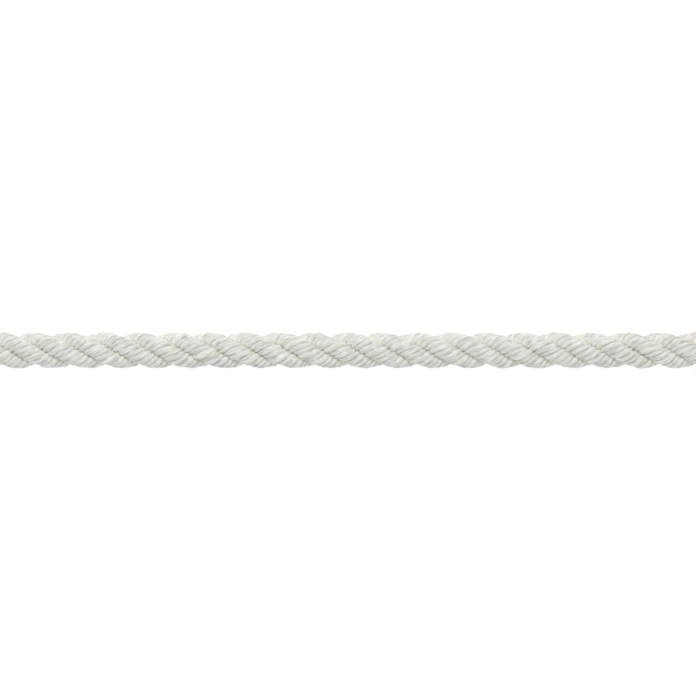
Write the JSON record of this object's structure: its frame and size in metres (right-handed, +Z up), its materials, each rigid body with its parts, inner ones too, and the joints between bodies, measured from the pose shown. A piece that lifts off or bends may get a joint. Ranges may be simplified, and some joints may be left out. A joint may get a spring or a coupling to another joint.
{
  "type": "three-strand dock line",
  "caption": "White three-strand laid dock line, one end straight and whipped, the rest tied in an oblong hank with a spliced eye on top.",
  "frame": {"origin": "centre of the whole laid-out line on the surface that it lies on", "axes": "+X along the straight stretch from the whipped end towards the hank, +Z up, +Y across the hank away from the side where the rope comes in"},
  "size_m": [0.5409, 0.1428, 0.0586],
  "materials": {
    "rope_nylon": "satin",
    "whipping_twine": "satin",
    "melted_nylon": "satin",
    "tie_webbing": "matte"
  },
  "bodies": {
    "root": {"rope_run": "rope_nylon", "rope_hank": "rope_nylon", "rope_lead": "rope_nylon", "eye_splice": "rope_nylon", "rope_eye": "rope_nylon", "end_whipping": "whipping_twine", "end_seal": "melted_nylon", "hank_tie_near": "tie_webbing", "hank_tie_far": "tie_webbing"}
  },
  "joints": []
}
